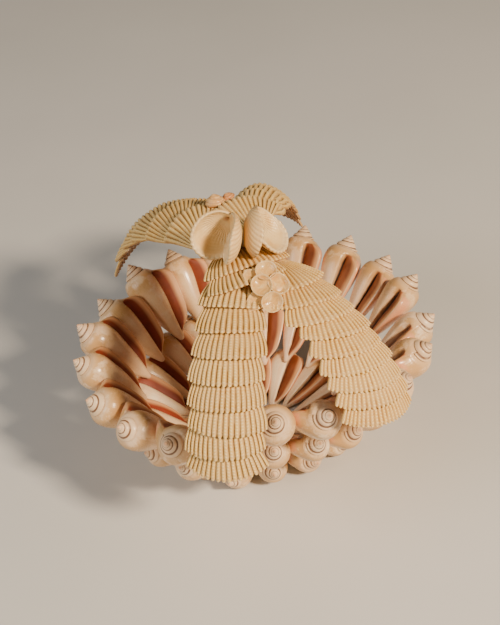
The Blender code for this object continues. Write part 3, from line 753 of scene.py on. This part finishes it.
def coverHandle():
    chance = random.Random(handle["seed"])
    for end in ("front", "back"):
        arks = []
        for leg in (dict(zip(handle["legKeys"], row)) for row in handle["legs"]):
            if leg["end"] != end:
                continue
            for i in range(leg["rows"]):
                # How far an ark spreads like a fan: the first of a turned leg, the last of a straight one.
                fan = 0.9 if leg["turn"] > 0.0 and i == 0 else 0.02 * leg["turn"]
                if leg["turn"] == 0.0 and i == leg["rows"] - 1:
                    fan = 0.5
                share = i / (leg["rows"] - 1)
                arks.append({**leg, "margin": mix(*leg["margins"], share), "wide": mix(*leg["wide"], share),
                             "fan": fan})
        for where, azimuth, margin, wide, length, proud, turn, aside in handle["crown"]:
            if where == end:
                arks.append({"azimuth": azimuth, "radius": handle["crownRadius"], "top": handle["top"],
                             "margin": margin, "wide": wide, "length": length, "proud": proud,
                             "sag": 0.15, "gather": 0.3, "turn": turn, "aside": aside,
                             "fan": 0.35 if end == "front" else 0.8})
        for k, ark in enumerate(arks):
            name = "ark_%s_%02d" % (end, k + 1)
            shell = makeArk(name, ark, chance)
            a = math.radians(ark["azimuth"])
            faceUp(shell, Vector((math.cos(a) * 0.3, math.sin(a) * 0.3, 1.0)))
            thicken(shell, handle["thick"])
            shell.data.transform(cadShift)
            markWhole(shell, tone=chance.random())
            dress(shell, arkLook)
            standFor(shell, "ark", "handle_" + end)
        print("arks laid:", end, len(arks))


coverHandle()


# Bow: two pairs of cockle valves, open like books.

bow = {
    "length": 25.5, "width": 23.5, "depth": 5.8, "wall": 1.25, "ribs": 30, "ribHeight": 0.34,
    "scallop": 0.018, "umbo": 1.4, "across": 120, "along": 26, "height": 150.0,
    # Hinge, then for the far and the near valve of a pair: where it points and where its hollow looks.
    "pairs": {
        "bow_left": ((-6.3, -8.0), ((-0.72, -0.2, -0.62), (0.1, -0.85, 0.35)),
                     ((-0.36, -0.72, -0.55), (-1.0, -0.08, 0.0))),
        "bow_right": ((6.3, -8.0), ((0.30, -0.60, -0.74), (0.72, -0.60, 0.30)),
                      ((-0.28, -0.78, -0.52), (0.97, 0.0, -0.15))),
    },
}


def frameOf(origin, along, hollow):
    x = Vector(along).normalized()
    z = Vector(hollow)
    z = (z - x * z.dot(x)).normalized()
    turn = Matrix((x, z.cross(x), z)).transposed().to_4x4()
    return Matrix.Translation(Vector(origin) * millimetre) @ turn


def makeValve(name, matrix, chance):
    nx, ny = bow["across"], bow["along"]
    offset = chance.uniform(0.0, 50.0)
    skew = chance.uniform(-0.05, 0.05)

    def pointAt(i, j):
        across = 2.0 * i / nx - 1.0
        s = (j / ny) ** 0.85
        # The margin is an oval; each rib runs to it from the umbo beside the hinge.
        swing = math.copysign(math.pi * (1.0 - abs(across)), across)
        edgeX = bow["length"] * 0.5 * (1.0 + math.cos(swing))
        edgeY = bow["width"] * 0.5 * math.sin(swing) * (1.0 + 0.1 * math.cos(swing))
        umbo = Vector((bow["umbo"], skew * bow["width"]))
        point = umbo.lerp(Vector((edgeX, edgeY)), 0.03 + 0.97 * s)
        ox, oy = point.x / (bow["length"] * 0.5) - 1.0, point.y / (bow["width"] * 0.5)
        ring = min(1.0, math.hypot(ox, oy))
        cell = 0.5 + 0.5 * math.cos(math.pi * across * bow["ribs"])
        front = ease(edgeX, 2.0, 9.0)
        rib = (cell ** 0.7 - 0.5) * bow["ribHeight"] * front * s
        scallop = 1.0 + bow["scallop"] * (cell - 0.5) * ease(s, 0.9, 1.0) * front
        z = -bow["depth"] * (1.0 - ring ** 2.5) ** 0.66 - rib
        z += 0.15 * noise.noise((point.x * 0.15 + offset, point.y * 0.15, 0.0))
        return (point.x * scallop, point.y * scallop, z), {
            "rib": cell * front, "down": s, "lift": rib * millimetre * (1.0 - ease(s, 0.93, 0.99))}

    made = shapedGrid(name, nx, ny, pointAt)
    faceUp(made, Vector((0.0, 0.0, -1.0)))
    thicken(made, bow["wall"])
    # The inside is smooth: the ribs are taken out of it but for its margin.
    values = made.data.attributes
    for k, vertex in enumerate(made.data.vertices):
        if values["inside"].data[k].value > 0.5:
            vertex.co.z += values["lift"].data[k].value
    editWhole(made, bpy.ops.mesh.remove_doubles, threshold=mergeGap)
    made.data.transform(matrix)
    return made


def cockleMaterial():
    look, tree, shader = newMaterial("cockleShell")
    spot = place(tree)
    rib, inside, down = attributes(tree, "rib", "inside", "down")
    cloud = speckle(tree, 110.0, 4.0, 0.6, spot, 0.3)
    outer = blend(tree, spread(tree, rib, 0.7, 0.1, 0.0, 0.6), (0.86, 0.62, 0.30), (0.50, 0.26, 0.08))
    lines = useGroup(tree, growthGroup, Along=down, Place=spot, Count=14.0)
    outer = blend(tree, spread(tree, lines["Bands"], 0.48, 0.7, 0.0, 0.45), outer, (0.76, 0.46, 0.21))
    inner = blend(tree, spread(tree, cloud, 0.4, 0.72), (0.84, 0.62, 0.30), (0.74, 0.46, 0.17))
    inner = blend(tree, spread(tree, down, 0.86, 0.97, 0.0, 0.6), inner, (0.92, 0.78, 0.52))
    hinge = times(tree, spread(tree, down, 0.14, 0.04), inside)
    inner = blend(tree, times(tree, hinge, 0.8), inner, (0.36, 0.15, 0.06))
    stains = useGroup(tree, stainGroup, Place=spot, Size=100.0, Amount=0.6)
    both = blend(tree, inside, outer, inner)
    stained = blend(tree, times(tree, stains["Mask"], 0.4), both, (0.64, 0.43, 0.18))
    worn = reckon(tree, "MULTIPLY_ADD", stains["Fine"], 0.2, 0.45)
    coloured(tree, shader, stained, reckon(tree, "SUBTRACT", worn, times(tree, inside, 0.18)))
    grain = speckle(tree, 1200.0, 3.0, 0.6, spot)
    bumped(tree, shader, plus(tree, lines["Lines"], grain), 0.3, 0.00015)
    return look


cockleLook = cockleMaterial()


def tieBow():
    chance = random.Random(8)
    for name, (hinge, far, near) in bow["pairs"].items():
        origin = (hinge[0], hinge[1], bow["height"])
        valves = [makeValve(name + "_far", frameOf(origin, *far), chance),
                  makeValve(name + "_near", frameOf(origin, *near), chance)]
        pair = joined("cockles_" + name, valves)
        pair.data.transform(cadShift)
        dress(pair, cockleLook)
        standFor(pair, "cockle", name)
        print("bow tied:", name)


tieBow()


# Front flower: four amber cups and two thin leaves on a hub.

flower = {
    "at": (0.5, -42.43, 128.61), "across": (1.0, 0.0, 0.0), "face": (0.0, -0.62, 0.78),
    # Place and lift of each cup, then place and turn of each leaf.
    "cups": ((-0.3, 7.4, 0.7), (-4.7, 0.9, 1.9), (3.6, -0.2, 0.5), (-2.2, -8.0, 1.1)),
    "leaves": (((-6.0, 5.5), 130.0), ((-8.0, -4.6), 205.0)),
    # Radius and height round the section of a cup and of the hub.
    "cup": ((0.4, -2.55), (1.6, -2.5), (2.9, -2.2), (4.0, -1.45), (4.7, -0.55), (5.15, 0.35), (5.2, 0.6),
            (5.05, 0.72), (4.85, 0.6), (4.4, -0.25), (3.7, -1.0), (2.7, -1.5), (1.5, -1.75), (0.3, -1.8)),
    "hub": ((0.5, -4.4), (4.5, -3.6), (6.9, -2.8), (6.9, -1.6), (5.2, -0.9), (2.5, -0.6), (0.4, -0.5)),
    "cupRadius": 5.2, "cupSides": 40, "hubSides": 28, "leafLength": 12.4, "leafWidth": 4.4, "leafWall": 0.45,
    "leafDrop": -2.2, "leafGrid": 24, "seed": 12,
}


def turned(name, outline, sides, pointAt):
    # A disc is added and drawn out ring by ring, as on a wheel.
    clearSelection()
    first = outline[0]
    bpy.ops.mesh.primitive_circle_add(vertices=sides, radius=first[0] * millimetre, fill_type="NGON",
                                      location=(0.0, 0.0, first[1] * millimetre))
    made = bpy.context.object
    made.name = name
    bpy.ops.object.mode_set(mode="EDIT")
    bpy.ops.mesh.select_all(action="SELECT")
    for (r0, z0), (r1, z1) in zip(outline, outline[1:]):
        bpy.ops.mesh.extrude_region_move(TRANSFORM_OT_translate={"value": (0.0, 0.0, (z1 - z0) * millimetre)})
        bpy.ops.transform.resize(value=(r1 / r0, r1 / r0, 1.0))
    bpy.ops.mesh.select_all(action="SELECT")
    bpy.ops.mesh.normals_make_consistent(inside=False)
    bpy.ops.object.mode_set(mode="OBJECT")
    bpy.ops.object.transform_apply(location=True, rotation=True, scale=True)
    for vertex in made.data.vertices:
        vertex.co = pointAt(vertex.co / millimetre) * millimetre
    bpy.ops.object.shade_smooth()
    return made


def amberMaterial():
    look, tree, shader = newMaterial("amberCup")
    spot = place(tree)
    edge = attributes(tree, "edge")[0]
    cloud = speckle(tree, 260.0, 4.0, 0.6, spot, 0.5)
    base = ramp(tree, cloud, ((0.3, (0.70, 0.36, 0.09)), (0.5, (0.86, 0.54, 0.19)),
                              (0.7, (0.94, 0.72, 0.36))))
    ringed = blend(tree, spread(tree, edge, 0.75, 0.98, 0.0, 0.55), base, (0.95, 0.74, 0.40))
    lines = useGroup(tree, growthGroup, Along=edge, Place=spot, Count=8.0)
    grown = blend(tree, spread(tree, lines["Lines"], 0.5, 1.0, 0.0, 0.25), ringed, (0.68, 0.36, 0.12))
    coloured(tree, shader, grown, reckon(tree, "MULTIPLY_ADD", cloud, 0.2, 0.16))
    shader["Transmission Weight"].default_value = 0.18
    shader["IOR"].default_value = 1.48
    shader["Coat Weight"].default_value = 0.4
    shader["Coat Roughness"].default_value = 0.12
    bumped(tree, shader, plus(tree, lines["Lines"], cloud), 0.25, 0.00015)
    return look


amberLook = amberMaterial()


def pinFlower():
    chance = random.Random(flower["seed"])
    cupRadius, grid = flower["cupRadius"], flower["leafGrid"]
    whole = Matrix.Translation(Vector(flower["at"]) * millimetre)
    whole = cadShift @ whole @ frameOf((0.0, 0.0, 0.0), flower["across"], flower["face"])
    pieces = []
    for k, (x, y, lift) in enumerate(flower["cups"]):
        offset = 11.0 * k
        size = chance.uniform(0.97, 1.03)

        def dished(p):
            angle = math.atan2(p.y, p.x)
            r = math.hypot(p.x, p.y)
            wave = 1.0 + 0.03 * math.sin(angle * 2.0 + offset) * r / cupRadius
            bend = 0.35 * math.sin(angle * 3.0 + offset) * (r / cupRadius) ** 2
            return Vector((p.x * wave * size, p.y * wave * size, p.z + bend))

        cup = turned("cup%d" % k, flower["cup"], flower["cupSides"], dished)
        reach = cupRadius * millimetre
        writeAttribute(cup, "edge", [min(1.0, v.co.xy.length / reach) for v in cup.data.vertices])
        cup.data.transform(frameOf((x, y, lift), (1.0, 0.0, -x * 0.035), (x * 0.035, y * 0.035, 1.0)))
        pieces.append(cup)
    for k, ((x, y), angle) in enumerate(flower["leaves"]):
        a = math.radians(angle)

        def leafPoint(i, j):
            u, v = 2.0 * i / grid - 1.0, j / grid
            wide = flower["leafWidth"] * math.sin(math.pi * (0.12 + 0.80 * v)) ** 0.8
            cupped = 0.9 * u * u - 0.5 + 0.55 * math.sin(v * 3.0 + k)
            return (flower["leafLength"] * (v - 0.5), u * wide, cupped), {"edge": max(abs(u), v)}

        leaf = shapedGrid("leaf%d" % k, grid, grid, leafPoint)
        thicken(leaf, flower["leafWall"])
        along = (math.cos(a), math.sin(a), -0.1)
        leaf.data.transform(frameOf((x, y, flower["leafDrop"]), along, (0.0, 0.0, 1.0)))
        pieces.append(leaf)

    def lumpy(p):
        x = p.x * (1.0 + 0.12 * noise.noise(p * 0.4))
        return Vector((x, p.y * (1.0 + 0.12 * noise.noise(p * 0.4 + Vector((5, 0, 0)))), p.z))

    hub = turned("hub", flower["hub"], flower["hubSides"], lumpy)
    markWhole(hub, edge=0.2)
    pieces.append(hub)
    for piece in pieces:
        piece.data.transform(whole)
        dress(piece, amberLook)
    made = joined("amberFlower", pieces)
    standFor(made, "amber_cup", "flower_front")
    print("front flower pinned")


pinFlower()


# Back flower: two low spiral buttons on a dab of glue.

buttons = {
    "at": (-4.0, 32.0, 129.4), "across": (1.0, 0.15, 0.0), "face": (0.0, 0.25, 1.0),
    # Place, radius and height of each; then the dab's section and how far along it lies.
    "big": (0.0, 0.0, 0.0, 5.3, 5.7), "small": (7.6, 0.4, 0.2, 3.9, 3.6), "turns": 3.4,
    "around": 72, "along": 34, "base": 0.12, "narrow": 0.82,
    "dab": ((0.5, -1.5), (3.0, -1.4), (4.1, -0.9), (4.3, 0.0), (3.6, 0.7), (1.8, 1.0), (0.4, 1.05)),
    "dabSides": 32, "dabAt": 3.6,
}


def makeButton(name, radius, tall, turns):
    nx, ny = buttons["around"], buttons["along"]
    base, narrow = buttons["base"], buttons["narrow"]

    def pointAt(i, j):
        # A flat base first, then a low cone whose whorls wind up to its top.
        angle = 2.0 * math.pi * i / nx
        t = j / ny
        groove = 0.0
        if t < base:
            r, z = radius * t / base * narrow, -0.4 + 0.1 * t
        else:
            k = (t - base) / (1.0 - base)
            phase = k * turns + angle / (2.0 * math.pi)
            part = phase - math.floor(phase)
            groove = math.exp(-((min(part, 1.0 - part) / 0.1) ** 2))
            face = math.sin(math.pi * part)
            r = radius * math.cos(k * math.pi * 0.5) ** 0.75 * (0.93 + 0.07 * face)
            z = tall * (0.06 + 0.94 * k ** 1.15) + 0.25 * face * (1.0 - k)
            if k < base:
                r = radius * mix(narrow, 1.0, (k / base) ** 0.5)
            if j == ny:
                r = 0.0
        return (r * math.cos(angle), r * math.sin(angle), z), {"groove": groove, "along": t}

    made = shapedGrid(name, nx, ny, pointAt)
    weld(made, 2.0 * mergeGap)
    return made


def buttonMaterial():
    look, tree, shader = newMaterial("buttonShell")
    spot = place(tree)
    groove, along, warm = attributes(tree, "groove", "along", "warm")
    cloud = speckle(tree, 320.0, 4.0, 0.6, spot, 0.4)
    base = ramp(tree, cloud, ((0.3, (0.48, 0.23, 0.07)), (0.5, (0.70, 0.40, 0.15)),
                              (0.72, (0.84, 0.58, 0.27))))
    orange = blend(tree, times(tree, warm, 0.75), base, (0.62, 0.22, 0.07))
    ringed = blend(tree, times(tree, groove, 0.7), orange, (0.40, 0.19, 0.09))
    # The apex is paler: a painted highlight where light falls on the top.
    apexHighlighted = blend(tree, spread(tree, along, 0.85, 1.0, 0.0, 0.6), ringed, (0.84, 0.60, 0.34))
    coloured(tree, shader, apexHighlighted, reckon(tree, "MULTIPLY_ADD", cloud, 0.25, 0.22))
    lines = useGroup(tree, growthGroup, Along=along, Place=spot, Count=20.0)
    bumped(tree, shader, lines["Lines"], 0.25, 0.0001)
    return look


def glueMaterial():
    look, tree, shader = newMaterial("driedGlue")
    cloud = speckle(tree, 400.0, 3.0, 0.6, warp=0.4)
    tint = ramp(tree, cloud, ((0.35, (0.55, 0.34, 0.12)), (0.6, (0.78, 0.58, 0.30))))
    coloured(tree, shader, tint, reckon(tree, "MULTIPLY_ADD", cloud, 0.3, 0.12))
    shader["Transmission Weight"].default_value = 0.3
    bumped(tree, shader, cloud, 0.4, 0.0003)
    return look


buttonLook = buttonMaterial()
glueLook = glueMaterial()


def setButtons():
    whole = cadShift @ frameOf(buttons["at"], buttons["across"], buttons["face"])
    pieces = []
    for key, warm, lean in (("big", 0.0, (0.0, 0.0, 1.0)), ("small", 0.8, (-0.25, 0.1, 1.0))):
        x, y, z, radius, tall = buttons[key]
        shell = makeButton(key + "Button", radius, tall, buttons["turns"])
        markWhole(shell, warm=warm)
        shell.data.transform(whole @ frameOf((x, y, z), (1.0, 0.0, -lean[0]), lean))
        dress(shell, buttonLook)
        pieces.append(shell)
    made = joined("spiralButtons", pieces)
    standFor(made, "button_shell", "flower_back")

    def smeared(p):
        x = p.x * (1.5 + 0.3 * noise.noise(p * 0.5))
        return Vector((x, p.y * (0.9 + 0.25 * noise.noise(p * 0.6)), p.z))

    dab = turned("gluePad", buttons["dab"], buttons["dabSides"], smeared)
    dab.data.transform(whole @ Matrix.Translation((buttons["dabAt"] * millimetre, 0.0, 0.0)))
    dress(dab, glueLook)
    standFor(dab, "button_shell")
    print("buttons set")


setButtons()


# Floor, light and camera.

studio = {
    "elevation": 38.8, "roll": 6.5, "distance": 0.70, "focal": 98.1, "yaw": -14.0,
    "aim": (-0.0005, 0.0004, 0.0800), "floorSize": 6.0, "world": 0.10, "worldColour": (1.0, 0.95, 0.89, 1.0),
    # Name, place, size, power and colour of each light, all turned to one point.
    "lights": (("keyLight", (0.70, -0.72, 0.82), 0.16, 28.0, (1.0, 0.79, 0.56)),
               ("fillLight", (-1.0, -0.4, 0.7), 0.8, 10.0, (1.0, 0.92, 0.82))),
    "lightAim": (0.0, 0.0, 0.07),
}


def floorMaterial():
    look, tree, shader = newMaterial("paleFloor")
    cloud = speckle(tree, 6.0, 3.0, 0.5)
    tint = ramp(tree, cloud, ((0.3, (0.60, 0.60, 0.59)), (0.7, (0.64, 0.64, 0.63))))
    coloured(tree, shader, tint, 0.75)
    return look


clearSelection()
bpy.ops.mesh.primitive_plane_add(size=studio["floorSize"], location=(0.0, 0.0, 0.0))
floor = bpy.context.object
floor.name = "studioFloor"
dress(floor, floorMaterial())

world = bpy.data.worlds.new("softRoom")
bpy.context.scene.world = world
world.use_nodes = True
backdrop = world.node_tree.nodes["Background"].inputs
backdrop[0].default_value = studio["worldColour"]
backdrop[1].default_value = studio["world"]

yaw = Matrix.Rotation(math.radians(studio["yaw"]), 4, "Z")


for name, spot, size, power, colour in studio["lights"]:
    lamp = bpy.data.objects.new(name, bpy.data.lights.new(name, "AREA"))
    lamp.data.size = size
    lamp.data.energy = power
    lamp.data.color = colour
    bpy.context.scene.collection.objects.link(lamp)
    lamp.location = yaw @ Vector(spot)
    lamp.rotation_euler = (Vector(studio["lightAim"]) - lamp.location).to_track_quat("-Z", "Y").to_euler()

camera = bpy.data.objects.new("camera", bpy.data.cameras.new("camera"))
bpy.context.scene.collection.objects.link(camera)
camera.data.lens = studio["focal"]
camera.data.sensor_width = 36.0
camera.data.sensor_fit = "HORIZONTAL"
camera.data.dof.use_dof = False
tilt, roll = math.radians(studio["elevation"]), math.radians(studio["roll"])
back = Vector((0.0, -math.cos(tilt), math.sin(tilt)))
right = Vector((1.0, 0.0, 0.0))
upward = back.cross(right)
rolledRight = right * math.cos(roll) - upward * math.sin(roll)
rolledUp = upward * math.cos(roll) + right * math.sin(roll)
stand = Matrix((rolledRight, rolledUp, back)).transposed().to_4x4()
camera.matrix_world = yaw @ Matrix.Translation(Vector(studio["aim"]) + back * studio["distance"]) @ stand
bpy.context.scene.camera = camera
print("studio ready")
